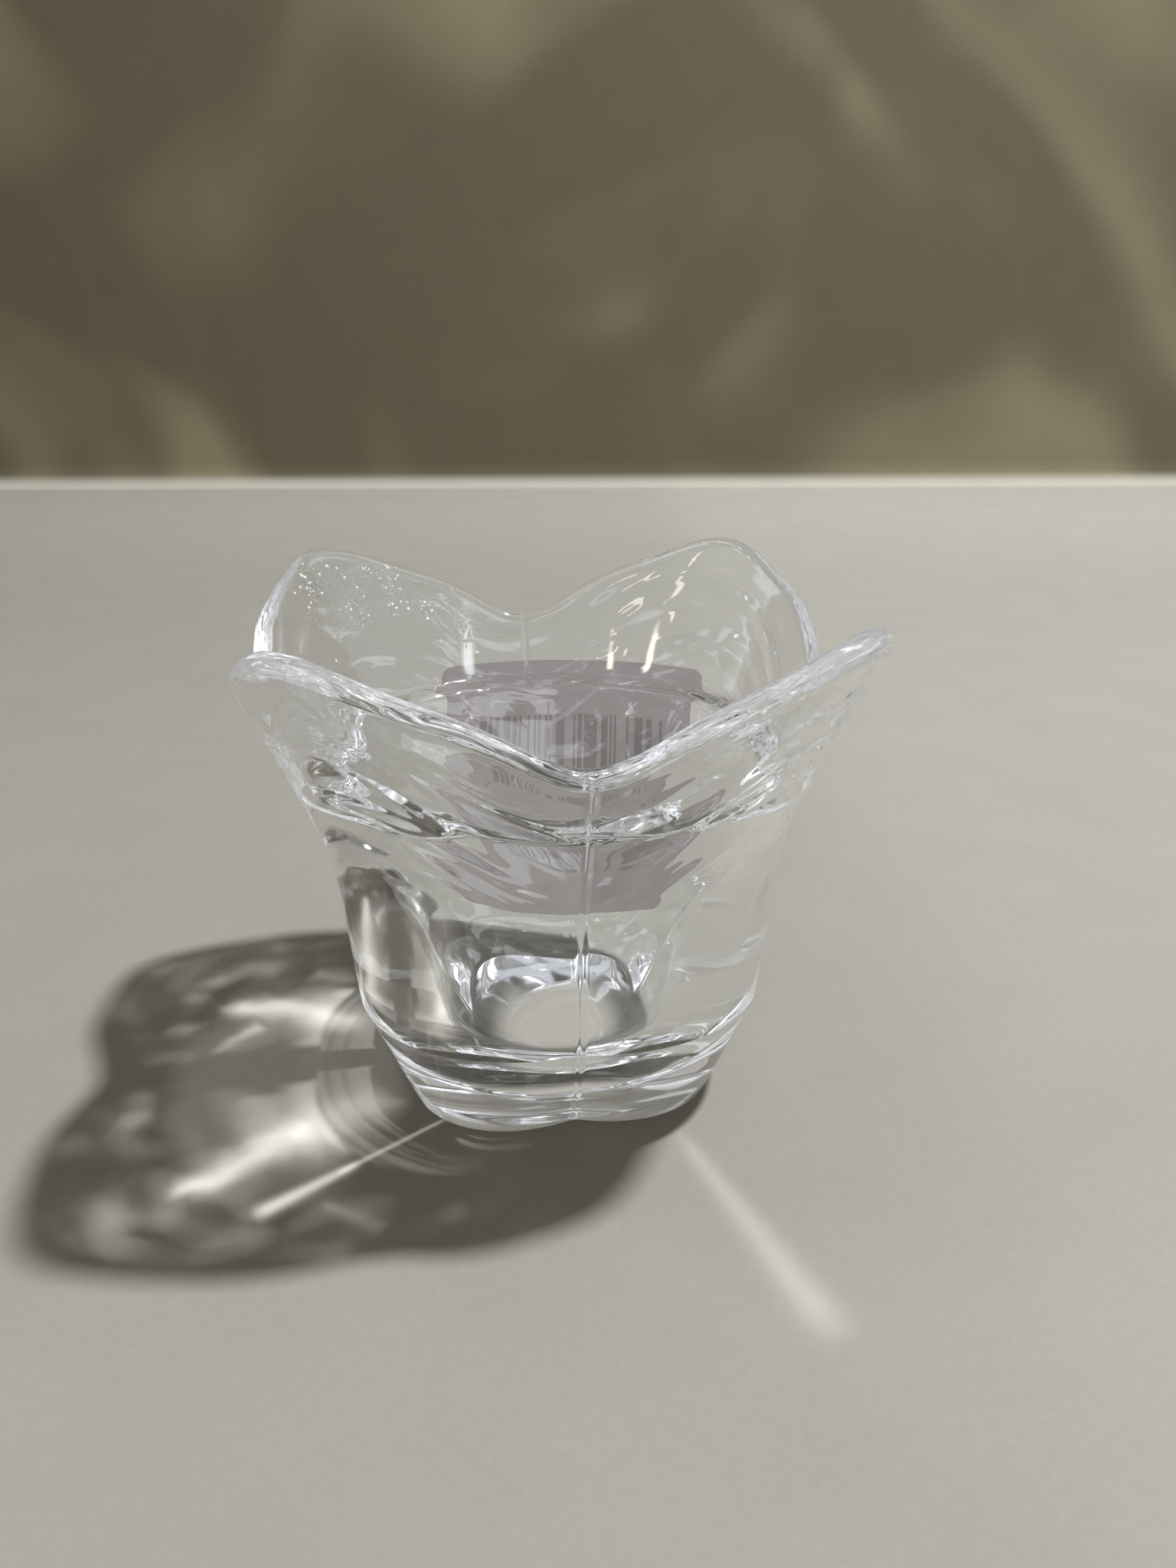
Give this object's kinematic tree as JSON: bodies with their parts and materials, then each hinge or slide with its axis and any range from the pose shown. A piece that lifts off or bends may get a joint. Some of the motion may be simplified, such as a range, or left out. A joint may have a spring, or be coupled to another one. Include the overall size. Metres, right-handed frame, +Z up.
{
  "type": "glass candle holder",
  "caption": "Clear pressed-glass candle holder: a flaring rim of rounded petals above a deep tapered well for a votive candle, on a chamfered lobed foot.",
  "frame": {"origin": "middle of the foot, on the table", "axes": "+Z up along the well; the petal tips lie on the diagonals between X and Y, the low valleys and the mould seams on X and Y; the paper label is on the +Y side"},
  "size_m": [0.0876, 0.0876, 0.0766],
  "materials": {
    "glass": "polished",
    "paper": "matte"
  },
  "bodies": {
    "root": {"glass_body": "glass", "paper_label": "paper"}
  },
  "joints": []
}
